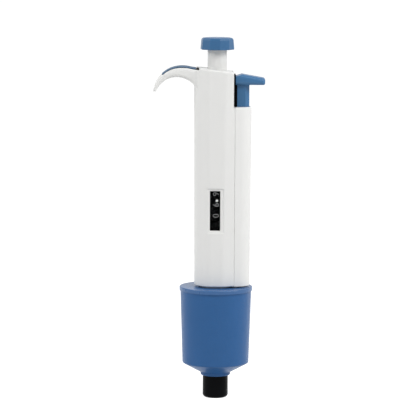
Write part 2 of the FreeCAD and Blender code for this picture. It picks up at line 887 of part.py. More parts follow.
def add_operating_rod():
    """The six-sided steel rod that joins the stem to the piston and turns the dial."""
    bottom = piston_rest + of.piston_floor + of.snug_fit
    body = new_body("operating_rod", at_height(bottom))
    section = new_sketch(body, "rod_section", "XY_Plane")
    polygon(section, ROD_SIDES, of.rod_radius)
    top = skirt_bottom + of.skirt_depth + of.rod_socket - of.snug_fit
    raise_pad(body, section, top - bottom, "rod_pad")


def add_volume_screw():
    """The dial's screw: a thread above a flange, with a tail that drives the tenths wheel."""
    tail = flange_bottom - wheels_top
    body = new_body("volume_screw", at_height(wheels_top))
    tail_bore = of.spindle_radius + of.tail_clearance
    crest = of.screw_radius
    core = crest - of.thread_depth
    top = screw_top - wheels_top
    web_bottom = tail + of.end_gap
    land = of.thread_pitch / 4
    thread_bottom = tail + of.flange_thickness + of.thread_pitch / 2
    profile = [
        (tail_bore, ZERO),
        (of.tail_radius, ZERO),
        (of.tail_radius, tail),
        (flange_radius, tail),
        (flange_radius, tail + of.flange_thickness),
        (core, tail + of.flange_thickness),
    ]
    for k in range(THREAD_RIDGES):
        low = thread_bottom + of.thread_pitch * k
        profile += [(core, low), (crest, low + land), (crest, low + land * 2), (core, low + land * 3)]
    profile += [(core, top), (tail_bore, top)]
    turn(body, profile, "screw_turned")
    web = new_sketch(body, "web_section", "XY_Plane", web_bottom)
    ring(web, tail_bore + of.slide_fit)
    raise_pad(body, web, top - web_bottom, "web_pad")
    bore = new_sketch(body, "drive_bore", "XY_Plane", top + OVERCUT)
    polygon(bore, ROD_SIDES, of.rod_radius + of.slide_fit)
    cut_pocket(body, bore, top + OVERCUT * 2, "drive_pocket")


def add_stop_nut():
    """The nut that the volume screw raises: its height sets how far the button can go."""
    body = new_body("stop_nut", at_height(nut_bottom))
    bore = of.screw_radius + of.slide_fit
    height = of.nut_height
    edge = of.nut_edge
    turn(
        body,
        [
            (bore, ZERO),
            (of.nut_radius - edge, ZERO),
            (of.nut_radius, edge),
            (of.nut_radius, height - edge),
            (of.nut_radius - edge, height),
            (bore, height),
        ],
        "nut_turned",
    )
    notch = new_sketch(body, "guide_slot", "XY_Plane", height + OVERCUT)
    half = of.nut_slot_width / 2
    box_outline(notch, -(of.nut_radius + OVERCUT), -(of.nut_radius - of.nut_slot_depth), -half, half)
    cut_pocket(body, notch, height + OVERCUT * 2, "guide_slot_cut")


def add_stop_parts():
    """The washer and spring that let the button go past the stop, and the dial's retainer."""
    washer_bore = of.screw_radius + of.slide_fit
    thickness = of.washer_thickness
    tube("blowout_washer", washer_bore, skirt_radius, thickness, at_height(washer_bottom))
    radius = (washer_bore + skirt_radius) / 2 + of.close_fit
    at = at_height(nut_top + of.snug_fit)
    length = of.washer_gap - of.snug_fit * 2
    coil_spring("blowout_spring", radius, of.blowout_wire, length, BLOWOUT_TURNS, at)
    retainer_bore = flange_radius - of.retainer_lap
    retainer_outer = shell_inner - of.retainer_gap
    at = at_height(flange_top + of.snug_fit * 2)
    tube("screw_retainer", retainer_bore, retainer_outer, of.retainer_thickness, at)


def add_counter_frame():
    """The chassis that carries the number wheels: two plates and a wall behind the wheels."""
    body = new_body("counter_frame", at_height(counter_bottom))
    plate = of.plate_thickness
    height = counter_top + plate - counter_bottom
    outer = shell_inner - of.snug_fit
    wall = of.wheel_radius + of.wheel_gap
    hub = of.rod_radius + of.slide_fit + of.snug_fit
    drive_hole = of.tail_radius + of.slide_fit
    turn(
        body,
        [
            (hub, ZERO),
            (outer, ZERO),
            (outer, height),
            (drive_hole, height),
            (drive_hole, height - plate),
            (wall, height - plate),
            (wall, plate),
            (hub, plate),
        ],
        "frame_turned",
    )
    opening = new_sketch(body, "frame_opening", "XY_Plane", height - plate)
    side = of.shaft_along - of.pinion_room
    front = of.frame_wall_start
    far = of.handle_radius
    outline(opening, [(-far, -far), (far, -far), (far, far), (side, far), (side, front), (-far, front)])
    cut_pocket(body, opening, height - plate * 2, "frame_opening_cut")
    half = of.lug_width / 2
    for name, low in (("lower_lug", ZERO), ("upper_lug", height - plate)):
        lug = new_sketch(body, f"{name}_outline", "XY_Plane", low)
        box_outline(
            lug, of.lug_start, of.shaft_along + half, of.shaft_behind - half, of.shaft_behind + half
        )
        raise_pad(body, lug, plate, f"{name}_pad")
    holes = new_sketch(body, "shaft_holes", "XY_Plane", height + OVERCUT)
    ring(holes, of.shaft_radius + of.close_fit, of.shaft_along, of.shaft_behind)
    cut_pocket(body, holes, height + OVERCUT * 2, "shaft_holes_cut")


def add_number_wheel(label, level_on_axis, hub):
    """A number wheel: a rim for ten figures, a web and a hub, notched for the carry pinions."""
    body = new_body(label, at_height(level_on_axis))
    rim = of.wheel_radius
    inner = rim - of.wheel_rim
    height = of.wheel_height
    hub_outer = hub + of.wheel_hub_wall
    web_low = (height - of.wheel_web) / 2
    web_high = (height + of.wheel_web) / 2
    turn(
        body,
        [
            (hub, ZERO),
            (hub_outer, ZERO),
            (hub_outer, web_low),
            (inner, web_low),
            (inner, ZERO),
            (rim, ZERO),
            (rim, height),
            (inner, height),
            (inner, web_high),
            (hub_outer, web_high),
            (hub_outer, height),
            (hub, height),
        ],
        "wheel_turned",
    )
    notch = new_sketch(body, "notch_outline", "XY_Plane", of.notch_size)
    half = of.notch_width / 2
    box_outline(notch, rim - of.notch_size, rim + OVERCUT, -half, half)
    cut = cut_pocket(body, notch, OVERCUT, "notch")
    pattern(body, cut, WHEEL_TEETH, "notches")


def add_carry_pinion(label, level_on_axis):
    """One of the small pinions that carry a full turn from one number wheel to the next."""
    body = new_body(label, (of.shaft_along, of.shaft_behind, level_on_axis))
    root = of.pinion_radius - of.tooth_height
    length = of.pinion_height
    bore = of.shaft_radius + of.snug_fit
    turn(body, [(bore, ZERO), (root, ZERO), (root, length), (bore, length)], "pinion_hub")
    tooth = new_sketch(body, "tooth_outline", "XY_Plane")
    half = of.tooth_width / 2
    box_outline(tooth, (bore + root) / 2, of.pinion_radius, -half, half)
    pad = raise_pad(body, tooth, length, "tooth")
    doc.recompute()
    pattern(body, pad, PINION_TEETH, "teeth")


def add_counter():
    """Display: three number wheels, a plain drum below them, spindle, shaft and pinions."""
    add_counter_frame()
    bore = of.spindle_radius + of.snug_fit
    names = ("tens_wheel", "units_wheel", "tenths_wheel")
    for name, level_on_axis in zip(names, wheel_levels):
        add_number_wheel(name, level_on_axis, bore)
    plate_top = counter_bottom + of.plate_thickness
    spindle_bottom = plate_top + of.close_fit
    spindle_length = wheels_top - of.snug_fit * 2 - spindle_bottom
    spindle_bore = of.rod_radius + of.slide_fit
    tube("counter_spindle", spindle_bore, of.spindle_radius, spindle_length, at_height(spindle_bottom))
    drum_bottom = plate_top + of.snug_fit
    drum_height = of.lowest_wheel - drum_bottom - (of.wheel_pitch - of.wheel_height)
    tube("counter_drum", bore, of.wheel_radius, drum_height, at_height(drum_bottom))
    for name, k in (("carry_pinion_low", 1), ("carry_pinion_high", 2)):
        middle = wheel_levels[k] - (of.wheel_pitch - of.wheel_height) / 2
        add_carry_pinion(name, middle - of.pinion_height / 2)
    shaft = new_body("pinion_shaft", (of.shaft_along, of.shaft_behind, counter_bottom))
    section = new_sketch(shaft, "shaft_section", "XY_Plane")
    ring(section, of.shaft_radius)
    raise_pad(shaft, section, counter_top + of.plate_thickness - counter_bottom, "shaft_pad")


def add_stem_guide():
    """The sleeve bearing that the plunger stem slides in, just below the top cap."""
    guide_bottom = top_cap_bottom - of.snug_fit * 2 - of.guide_height
    bore = stem_hole - of.close_fit
    tube("stem_guide", bore, cap_edge - of.snug_fit, of.guide_height, at_height(guide_bottom))


def add_primary_spring():
    """The return spring, the collar on the rod that it pushes and the nut below the handle."""
    collar_bottom = neck_top + of.collar_gap
    length = collar_bottom - spring_seat - of.snug_fit * 2
    at = at_height(spring_seat + of.snug_fit)
    coil_spring("primary_spring", of.spring_radius, of.spring_wire, length, SPRING_TURNS, at)
    collar = new_body("spring_collar", at_height(collar_bottom))
    bore = of.rod_radius + of.press_fit
    rim = of.spring_radius + of.collar_rim
    turn(
        collar,
        [
            (bore, ZERO),
            (rim, ZERO),
            (rim, of.collar_rim_height),
            (of.collar_boss, of.spring_collar_height),
            (bore, of.spring_collar_height),
        ],
        "collar_turned",
    )
    nut_bore = of.neck_radius + of.snug_fit
    nut_outer = shell_inner - of.slide_fit
    nut_at = at_height(floor_top + of.close_fit)
    tube("coupling_nut", nut_bore, nut_outer, of.coupling_height, nut_at)


def add_cylinder():
    """Cylinder, and its screwed cap with the neck that holds it in the handle."""
    outer = of.cylinder_bore + of.cylinder_wall
    floor = of.cylinder_floor
    spigot = of.spigot_radius + of.snug_fit
    height = of.cylinder_top - of.cylinder_bottom
    edge = of.cylinder_edge
    body = new_body("piston_cylinder", at_height(of.cylinder_bottom))
    turn(
        body,
        [
            (spigot, ZERO),
            (outer - edge, ZERO),
            (outer, edge),
            (outer, height),
            (of.cylinder_bore, height),
            (of.cylinder_bore, floor),
            (spigot, floor),
        ],
        "cylinder_turned",
    )
    cap_bottom = of.cylinder_top - of.cap_plug
    cap = new_body("cylinder_cap", at_height(cap_bottom))
    rod_hole = of.rod_radius + of.slide_fit
    plug = of.cylinder_bore - of.snug_fit
    neck_inner = of.neck_radius - of.neck_wall
    flange = of.cap_plug + of.cap_flange
    neck = neck_top - cap_bottom
    turn(
        cap,
        [
            (rod_hole, ZERO),
            (plug, ZERO),
            (plug, of.cap_plug),
            (outer, of.cap_plug),
            (outer, flange),
            (of.neck_radius, flange),
            (of.neck_radius, neck),
            (neck_inner, neck),
            (neck_inner, of.cap_floor),
            (rod_hole, of.cap_floor),
        ],
        "cap_turned",
    )


def add_piston():
    """Piston body, its seal and the ring that holds the seal."""
    body = new_body("piston", at_height(piston_rest))
    crown = of.piston_crown
    edge = of.piston_edge
    boss = piston_radius - of.seal_width
    rod = of.rod_radius + of.snug_fit
    turn(
        body,
        [
            (ZERO, ZERO),
            (piston_radius - edge, ZERO),
            (piston_radius, edge),
            (piston_radius, crown),
            (boss, crown),
            (boss, of.piston_height),
            (rod, of.piston_height),
            (rod, of.piston_floor),
            (ZERO, of.piston_floor),
        ],
        "piston_turned",
    )
    seal_bore = boss + of.close_fit
    seal_bottom = piston_rest + crown + of.close_fit
    seal_outer = of.cylinder_bore - of.close_fit
    tube("piston_seal", seal_bore, seal_outer, of.seal_height, at_height(seal_bottom))
    retainer = seal_bottom + of.seal_height + of.close_fit
    retainer_outer = piston_radius - of.snug_fit * 2
    tube("seal_retainer", seal_bore, retainer_outer, of.seal_retainer_height, at_height(retainer))


def add_tip_cone():
    """The nozzle that takes the tip, with its gasket and filter."""
    body = new_body("tip_cone", at_height(-of.mouth_round))
    up = of.mouth_round
    neck = of.cone_neck_radius
    spigot_top = of.cylinder_bottom + of.cylinder_floor - of.snug_fit * 2
    filter_seat = of.filter_length + of.filter_inset
    turn(
        body,
        [
            (of.mouth_bore, ZERO),
            (of.land_radius - of.mouth_round, ZERO, of.mouth_round),
            (of.land_radius, up),
            (of.land_radius, up + of.land_length),
            (neck, up + of.land_length),
            (neck, up + cone_top),
            (of.spigot_radius, up + cone_top),
            (of.spigot_radius, up + spigot_top),
            (of.air_bore, up + spigot_top),
            (of.air_bore, filter_seat),
            (of.mouth_bore, filter_seat),
        ],
        "cone_turned",
    )
    gasket_bore = of.spigot_radius + of.snug_fit
    gasket_outer = neck - of.snug_fit * 2
    tube("cone_gasket", gasket_bore, gasket_outer, of.gasket_thickness, at_height(cone_top))
    wick = new_body("tip_filter", at_height(of.filter_inset - of.mouth_round))
    section = new_sketch(wick, "filter_section", "XY_Plane")
    ring(section, of.mouth_bore - of.close_fit)
    raise_pad(wick, section, of.filter_length - of.snug_fit, "filter_pad")


def add_ejector_sleeve():
    """The wide sleeve round the cylinder, whose collar pushes the tip off the cone."""
    body = new_body("ejector_sleeve", at_height(of.collar_bottom))
    bore = of.land_radius + of.slide_fit
    collar = of.collar_radius
    edge = of.collar_edge
    foot = of.sleeve_foot - of.collar_bottom
    shoulder = of.sleeve_foot_radius
    floor_level = of.collar_height + of.sleeve_floor
    turn(
        body,
        [
            (bore, ZERO),
            (collar - edge, ZERO, edge),
            (collar, edge),
            (collar, of.collar_height),
            (shoulder - of.shoulder_run, foot - of.shoulder_drop),
            (shoulder - of.shoulder_turn, foot - of.shoulder_turn / 2, of.shoulder_round),
            (shoulder, foot + of.shoulder_rise),
            (of.sleeve_mouth_radius, ring_bottom - of.collar_bottom),
            (sleeve_mouth_inner, ring_bottom - of.collar_bottom),
            (sleeve_inner, foot + of.shoulder_run),
            (collar + of.shoulder_turn, floor_level),
            (bore, floor_level),
        ],
        "sleeve_turned",
    )


def add_sleeve_ring():
    """The ring that closes the sleeve and takes the ejector rod."""
    body = new_body("sleeve_ring", at_height(ring_bottom - of.ring_spigot))
    spigot = sleeve_mouth_inner - of.snug_fit
    bore = of.neck_radius + of.ring_clearance
    edge = of.ring_edge
    top = of.ring_spigot + of.ring_thickness
    turn(
        body,
        [
            (spigot - of.ring_spigot_wall, ZERO),
            (spigot, ZERO),
            (spigot, of.ring_spigot),
            (of.ring_radius, of.ring_spigot),
            (of.ring_radius, top - edge, edge),
            (of.ring_radius - edge, top),
            (bore, top),
            (bore, of.ring_spigot),
            (spigot - of.ring_spigot_wall, of.ring_spigot),
        ],
        "ring_turned",
    )
    hole = new_sketch(body, "rod_hole_outline", "XY_Plane", top + OVERCUT)
    ring(hole, of.ejector_rod_radius + of.close_fit, ejector_rod_along)
    cut_pocket(body, hole, top + OVERCUT * 2, "rod_hole")


def add_ejector_button():
    """The thumb lever of the ejector, with the bevelled stem that slides in the cover."""
    body = new_body("ejector_button")
    side = new_sketch(body, "thumb_outline", "XZ_Plane")
    low = of.thumb_bottom
    left = thumb_left
    right = of.thumb_reach
    edge = of.thumb_edge
    outline(
        side,
        [
            (left, low),
            (right - edge, low, edge),
            (right, low + edge),
            (right, low + of.thumb_end_flat, of.thumb_end_round),
            (right - edge, low + of.thumb_end_height),
            (left + of.thumb_peak_along, low + of.thumb_peak),
            (left, low + of.thumb_root_height),
        ],
    )
    raise_pad(body, side, of.thumb_width, "thumb_pad", both=True)
    round_edges(body, of.thumb_corner, "thumb_end", at_thumb_end)
    stem = new_sketch(body, "stem_section", "XY_Plane", ejector_stem_bottom)
    stem_outline(stem, ejector_stem_left, ZERO)
    raise_pad(body, stem, low + of.end_gap - ejector_stem_bottom, "stem_pad")
    socket = new_sketch(body, "rod_socket", "XY_Plane", ejector_stem_bottom + of.ejector_socket)
    ring(socket, of.ejector_rod_radius + of.close_fit, ejector_rod_along)
    cut_pocket(body, socket, of.ejector_socket + OVERCUT, "rod_socket_cut")


def add_stem_runner():
    """The black wear strip on the ejector stem's inner face, which slides along the handle."""
    body = new_body("stem_runner")
    section = new_sketch(body, "runner_section", "XY_Plane", ejector_stem_bottom)
    half = of.runner_width / 2
    box_outline(section, thumb_left, ejector_stem_left, -half, half)
    raise_pad(body, section, of.thumb_bottom - ejector_stem_bottom, "runner_pad")


def at_thumb_end(edge):
    """The two upright edges at the thumb lever's free end."""
    box = edge.BoundBox
    inside = box.XMin > of.thumb_reach.number - TOUCH and box.YLength < TOUCH
    return inside and box.ZLength > of.thumb_edge.number / 2


def add_ejector_rod():
    """The rod that joins the thumb lever to the sleeve, with its return spring."""
    bottom = ring_bottom + of.snug_fit * 2
    top = ejector_stem_bottom + of.ejector_socket - of.snug_fit * 2
    body = new_body("ejector_rod", (ejector_rod_along, ZERO, bottom))
    section = new_sketch(body, "rod_section", "XY_Plane")
    ring(section, of.ejector_rod_radius)
    raise_pad(body, section, top - bottom, "rod_pad")
    at = (ejector_rod_along, ZERO, shelf_top + of.snug_fit)
    radius = of.ejector_rod_radius + of.slide_fit + of.ejector_wire + of.ejector_wire_gap
    length = of.ejector_spring_length
    coil_spring("ejector_spring", radius, of.ejector_wire, length, EJECTOR_TURNS, at)


def main():
    add_main_shell()
    add_ejector_cover()
    add_top_cap()
    add_hook_pad()
    add_window_lens()
    add_push_button()
    add_plunger_stem()
    add_operating_rod()
    add_stem_guide()
    add_volume_screw()
    add_stop_nut()
    add_stop_parts()
    add_counter()
    add_primary_spring()
    add_cylinder()
    add_piston()
    add_tip_cone()
    add_ejector_sleeve()
    add_sleeve_ring()
    add_ejector_button()
    add_stem_runner()
    add_ejector_rod()
    doc.recompute()
    check_document()
    write_parts()


def check_document():
    """Stops if any object failed or any sub-part has no sound solid."""
    faults = [o.Name for o in doc.Objects if {"Invalid", "Error"} & set(o.State)]
    for part in subparts:
        shape = part.Shape
        if shape.isNull() or not shape.isValid() or not shape.Solids:
            faults.append(part.Label)
    if faults:
        raise RuntimeError("failed: " + ", ".join(sorted(set(faults))))


def write_parts():
    os.makedirs("parts", exist_ok=True)
    for part in subparts:
        part.Shape.exportStep(os.path.join("parts", f"{part.Label}.step"))
        box = part.Shape.BoundBox
        print(
            f"{part.Label}: {len(part.Shape.Solids)} solid, {part.Shape.Volume:.0f} mm3, "
            f"x {box.XMin:.1f}..{box.XMax:.1f} y {box.YMin:.1f}..{box.YMax:.1f} "
            f"z {box.ZMin:.1f}..{box.ZMax:.1f}"
        )


main()
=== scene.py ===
import json
import math
from collections import namedtuple

import bpy
import numpy as np
from mathutils import Euler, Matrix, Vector

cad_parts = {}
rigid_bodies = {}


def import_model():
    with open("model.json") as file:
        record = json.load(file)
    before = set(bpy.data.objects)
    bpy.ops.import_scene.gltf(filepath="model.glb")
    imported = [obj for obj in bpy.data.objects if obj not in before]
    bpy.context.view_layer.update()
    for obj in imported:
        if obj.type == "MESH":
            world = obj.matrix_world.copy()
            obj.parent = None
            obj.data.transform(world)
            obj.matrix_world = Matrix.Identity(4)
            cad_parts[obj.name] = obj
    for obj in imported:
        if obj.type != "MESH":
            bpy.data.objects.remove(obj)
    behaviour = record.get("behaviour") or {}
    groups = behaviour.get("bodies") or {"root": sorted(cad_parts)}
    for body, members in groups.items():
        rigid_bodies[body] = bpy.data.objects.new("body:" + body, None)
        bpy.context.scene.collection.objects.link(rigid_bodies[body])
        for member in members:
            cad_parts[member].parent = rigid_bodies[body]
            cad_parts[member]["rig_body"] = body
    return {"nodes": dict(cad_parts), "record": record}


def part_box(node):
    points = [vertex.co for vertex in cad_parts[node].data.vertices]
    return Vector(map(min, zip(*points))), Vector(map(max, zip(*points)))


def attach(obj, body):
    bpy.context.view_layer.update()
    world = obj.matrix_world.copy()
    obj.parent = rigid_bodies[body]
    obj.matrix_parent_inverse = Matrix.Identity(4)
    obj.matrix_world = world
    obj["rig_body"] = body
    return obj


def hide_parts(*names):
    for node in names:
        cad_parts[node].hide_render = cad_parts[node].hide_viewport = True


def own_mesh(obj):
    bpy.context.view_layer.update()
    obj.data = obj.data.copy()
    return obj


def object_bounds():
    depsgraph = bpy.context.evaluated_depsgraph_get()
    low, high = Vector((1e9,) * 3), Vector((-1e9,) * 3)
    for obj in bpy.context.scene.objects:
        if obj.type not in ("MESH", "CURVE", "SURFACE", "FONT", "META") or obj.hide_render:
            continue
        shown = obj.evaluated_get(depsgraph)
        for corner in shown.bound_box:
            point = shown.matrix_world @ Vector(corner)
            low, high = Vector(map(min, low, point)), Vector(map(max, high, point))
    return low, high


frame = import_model()
MM = 0.001
cad_low, cad_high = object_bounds()
Point = namedtuple("Point", "x y z")


def in_mm(node):
    """The two corners of a node's box, in millimetres."""
    return [Point(*(round(v / MM, 3) for v in corner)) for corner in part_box(node)]


def new_piece(name, points, faces, material, body, stands_for=None):
    """A mesh piece, its points in metres, which moves with a body."""
    mesh = bpy.data.meshes.new(name)
    mesh.from_pydata(points, [], faces)
    mesh.materials.append(material)
    piece = bpy.data.objects.new(name, mesh)
    bpy.context.scene.collection.objects.link(piece)
    if stands_for:
        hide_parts(stands_for)
    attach(piece, body)
    return piece


# ---------------------------------------------------------------- materials

# How fine each kind of noise is.
CLOUD_SCALE = 90
GLOSS_SCALE = 420
GRAIN_SCALE = 5200
RING_SCALE = 60
HAZE_SCALE = 300
WEAR_SCALE = 900
STRAND_SCALE = 1800


class Shader:
    """A material with one Principled shader and helpers for the nodes that feed it."""

    def __init__(self, name, **values):
        self.material = bpy.data.materials.new(name)
        self.material.use_nodes = True
        self.tree = self.material.node_tree
        self.bsdf = self.tree.nodes["Principled BSDF"]
        self.place = self.node("ShaderNodeTexCoord").outputs["Object"]
        for key, value in values.items():
            self.bsdf.inputs[key.replace("_", " ")].default_value = value

    def node(self, kind, **settings):
        """A new node with the given settings."""
        made = self.tree.nodes.new(kind)
        for key, value in settings.items():
            setattr(made, key, value)
        return made

    def link(self, output, target):
        """Feeds a node's output into a shader's or a node's input."""
        self.tree.links.new(output, target)

    def stretched(self, scale):
        """The object's own coordinates, scaled along each axis."""
        mapping = self.node("ShaderNodeMapping")
        mapping.inputs["Scale"].default_value = scale
        self.link(self.place, mapping.inputs["Vector"])
        return mapping.outputs["Vector"]

    def noise(self, scale, detail=3.0, roughness=0.5, vector=None):
        """A noise pattern: it lies in the object's own coordinates unless others are given."""
        made = self.node("ShaderNodeTexNoise")
        made.inputs["Scale"].default_value = scale
        made.inputs["Detail"].default_value = detail
        made.inputs["Roughness"].default_value = roughness
        self.link(vector or self.place, made.inputs["Vector"])
        return made.outputs["Fac"]

    def spread(self, value, low, high, to_low, to_high):
        """Maps a value from one range to another."""
        made = self.node("ShaderNodeMapRange")
        for key, number in zip(
            ("From Min", "From Max", "To Min", "To Max"), (low, high, to_low, to_high)
        ):
            made.inputs[key].default_value = number
        self.link(value, made.inputs["Value"])
        return made.outputs["Result"]

    def colour_between(self, share, first, second):
        """Gives the surface a colour between two, as the share says."""
        made = self.node("ShaderNodeMix", data_type="RGBA")
        made.inputs["A"].default_value = first
        made.inputs["B"].default_value = second
        self.link(share, made.inputs["Factor"])
        self.link(made.outputs["Result"], self.bsdf.inputs["Base Color"])

    def bump(self, height, distance):
        """Gives the surface a relief that is a distance deep, in metres."""
        made = self.node("ShaderNodeBump")
        made.inputs["Distance"].default_value = distance
        made.inputs["Strength"].default_value = 1.0
        self.link(height, made.inputs["Height"])
        self.link(made.outputs["Normal"], self.bsdf.inputs["Normal"])


def shaded(colour, factor):
    """A colour made darker or lighter."""
    return (*(c * factor for c in colour[:3]), 1.0)


def moulded(name, colour, roughness, grain=0.00002, mottle=0.03, **values):
    """Injection-moulded plastic: a fine satin grain, faint mottling and uneven gloss."""
    made = Shader(name, **values)
    cloud = made.noise(CLOUD_SCALE, detail=4)
    made.colour_between(cloud, shaded(colour, 1 - mottle), shaded(colour, 1 + mottle))
    gloss = made.noise(GLOSS_SCALE, detail=5, roughness=0.6)
    made.link(
        made.spread(gloss, 0.3, 0.7, roughness - 0.05, roughness + 0.06),
        made.bsdf.inputs["Roughness"],
    )
    made.bump(made.noise(GRAIN_SCALE, detail=2), grain)
    return made.material


def turned_metal(name, colour, roughness):
    """Machined metal with fine rings left by the tool."""
    made = Shader(name, Metallic=1.0)
    rings = made.noise(RING_SCALE, detail=4, vector=made.stretched((1, 1, 90)))
    made.colour_between(rings, shaded(colour, 0.85), shaded(colour, 1.1))
    made.link(
        made.spread(rings, 0.3, 0.7, roughness - 0.08, roughness + 0.1),
        made.bsdf.inputs["Roughness"],
    )
    made.bump(rings, 0.00003)
    return made.material


def clear_plastic(name):
    """The window: nearly clear, with faint wear in its gloss."""
    made = Shader(name, Transmission_Weight=1.0, IOR=1.46, Alpha=0.06)
    made.colour_between(made.noise(HAZE_SCALE), WINDOW_GREY, WINDOW_WHITE)
    made.link(
        made.spread(made.noise(WEAR_SCALE, detail=5), 0.4, 0.8, 0.02, 0.07),
        made.bsdf.inputs["Roughness"],
    )
    return made.material


def fibre(name, colour):
    """Pressed fibre: a rough surface of light and dark strands."""
    made = Shader(name, Roughness=0.95)
    strands = made.noise(STRAND_SCALE, detail=6, roughness=0.8)
    made.colour_between(strands, shaded(colour, 0.7), shaded(colour, 1.05))
    made.bump(strands, 0.0002)
    return made.material


WHITE = (0.82, 0.82, 0.805, 1.0)
STEM_WHITE = (0.735, 0.735, 0.72, 1.0)
BLUE = (0.029, 0.115, 0.300, 1.0)
# The push button's blue: the blue plastic a little greyer, and lighter for the light from above and in
# front, which is painted light.
BUTTON_BLUE_PAINTED_LIGHT = (0.032, 0.125, 0.275, 1.0)
# The thumb's blue: the blue plastic made lighter still for the light on its top, which is painted
# light.
THUMB_BLUE_PAINTED_LIGHT = (0.042, 0.152, 0.320, 1.0)
GRIP_BLUE = (0.050, 0.115, 0.205, 1.0)
BLACK = (0.003, 0.0034, 0.004, 1.0)
RUBBER_BLACK = (0.02, 0.02, 0.022, 1.0)
NATURAL = (0.70, 0.71, 0.70, 1.0)
STEEL = (0.55, 0.56, 0.58, 1.0)
BRASS = (0.70, 0.53, 0.24, 1.0)
FIBRE_WHITE = (0.85, 0.85, 0.83, 1.0)
FIGURE_GREY = (0.34, 0.34, 0.34, 1.0)
DOT_WHITE = (0.85, 0.85, 0.84, 1.0)
WINDOW_GREY = (0.95, 0.97, 0.98, 1.0)
WINDOW_WHITE = (0.99, 0.99, 1.0, 1.0)

MATERIALS = {
    "white_plastic": moulded("white_plastic", WHITE, 0.38, mottle=0.006),
    "stem_plastic": moulded("stem_plastic", STEM_WHITE, 0.42, mottle=0.01),
    "blue_plastic": moulded("blue_plastic", BLUE, 0.36, mottle=0.05, Specular_IOR_Level=0.2),
    # The push button and the thumb wear lit copies of the blue plastic: painted light.
    "button_blue_painted_light": moulded("button_blue_painted_light", BUTTON_BLUE_PAINTED_LIGHT, 0.36, mottle=0.05, Specular_IOR_Level=0.4),
    "thumb_blue_painted_light": moulded("thumb_blue_painted_light", THUMB_BLUE_PAINTED_LIGHT, 0.36, mottle=0.05, Specular_IOR_Level=0.4),
    "blue_grip": moulded("blue_grip", GRIP_BLUE, 0.6, grain=0.00006, mottle=0.08),
    "black_plastic": moulded(
        "black_plastic", BLACK, 0.30, mottle=0.1, Specular_IOR_Level=0.035
    ),
    # Black plastic made darker still and without reflection: the wheels are black, and the extra
    # darkness is painted shade for the dim inside of the counter behind the window.
    "wheel_black": moulded(
        "wheel_black", shaded(BLACK, 0.5), 0.6, mottle=0.1, Specular_IOR_Level=0.0
    ),
    "clear_window": clear_plastic("clear_window"),
    "steel": turned_metal("steel", STEEL, 0.3),
    "brass": turned_metal("brass", BRASS, 0.3),
    "inner_plastic": moulded("inner_plastic", NATURAL, 0.5, mottle=0.02),
    "seal_rubber": moulded("seal_rubber", RUBBER_BLACK, 0.75, grain=0.00008),
    "filter_fibre": fibre("filter_fibre", FIBRE_WHITE),
    "figure_white": moulded("figure_white", FIGURE_GREY, 0.6, mottle=0.04),
    "dot_white": moulded("dot_white", DOT_WHITE, 0.6, mottle=0.02),
    "sleeve_ring": moulded("sleeve_ring", BLUE, 0.30, grain=0.000001, mottle=0.02),
}

# The slots that the record gives, and the nodes whose look differs a little from their slot's: the
# push button and thumb blues are lighter for painted light, the drum's black darker for painted shade.
slot_of = {s["node"]: s["material_slot"] for s in frame["record"]["subparts"]}
OTHER_MATERIAL = {
    "push_button": "button_blue_painted_light",
    "ejector_button": "thumb_blue_painted_light",
    "sleeve_ring": "sleeve_ring",
    "counter_drum": "wheel_black",
}


def material_of(node):
    """The material that a CAD node wears."""
    return MATERIALS[OTHER_MATERIAL.get(node, slot_of[node])]


def dress(node):
    """Gives a CAD node its material."""
    mesh = frame["nodes"][node].data
    mesh.materials.clear()
    mesh.materials.append(material_of(node))
    for face in mesh.polygons:
        face.material_index = 0


for node_name in frame["nodes"]:
    dress(node_name)

SOFT_EDGES = {
    "ejector_button": 0.35 * MM,
    "ejector_cover": 0.15 * MM,
    "top_cap": 0.12 * MM,
}
SHARP_ANGLE = math.radians(30)


def soften(node, width):
    """Rounds a node's sharp edges a little, as a mould does."""
    bevel = frame["nodes"][node].modifiers.new("soft_edges", "BEVEL")
    bevel.width = width
    bevel.segments = 3
    bevel.limit_method = "ANGLE"
    bevel.angle_limit = SHARP_ANGLE
    bevel.harden_normals = True


for softened, edge in SOFT_EDGES.items():
    soften(softened, edge)

# ---------------------------------------------------------------- meshes from distance fields
# From here to the springs, lengths are in millimetres. A field is negative inside its solid.

GRADIENT_STEP = 0.02
NEWTON_STEPS = 4
LEAST_SLOPE = 0.1
SEAM_CLOSING = 0.1


def smooth_max(a, b, reach):
    """The larger of two fields, with the edge where they meet rounded off over a reach."""
    return np.maximum(a, b) + np.maximum(reach - np.abs(a - b), 0.0) ** 2 / (4 * reach)


def smooth_min(a, b, reach):
    """The smaller of two fields, with the corner where they meet filled over a reach."""
    return -smooth_max(-a, -b, reach)


def arc(start, end, radius, count=14):
    """Points from start up to end, but not on it: the centre is to the left if radius > 0."""
    chord = np.subtract(end, start)
    middle = np.add(start, end) / 2
    rise = math.sqrt(radius * radius - chord.dot(chord) / 4)
    left = np.array((-chord[1], chord[0])) / np.linalg.norm(chord)
    centre = middle + left * math.copysign(rise, radius)
    first = np.arctan2(*(np.asarray(start) - centre)[::-1])
    last = np.arctan2(*(np.asarray(end) - centre)[::-1])
    turn = (last - first + math.pi) % (2 * math.pi) - math.pi
    angles = first + turn * np.arange(count) / count
    return [centre + abs(radius) * np.array((math.cos(a), math.sin(a))) for a in angles]


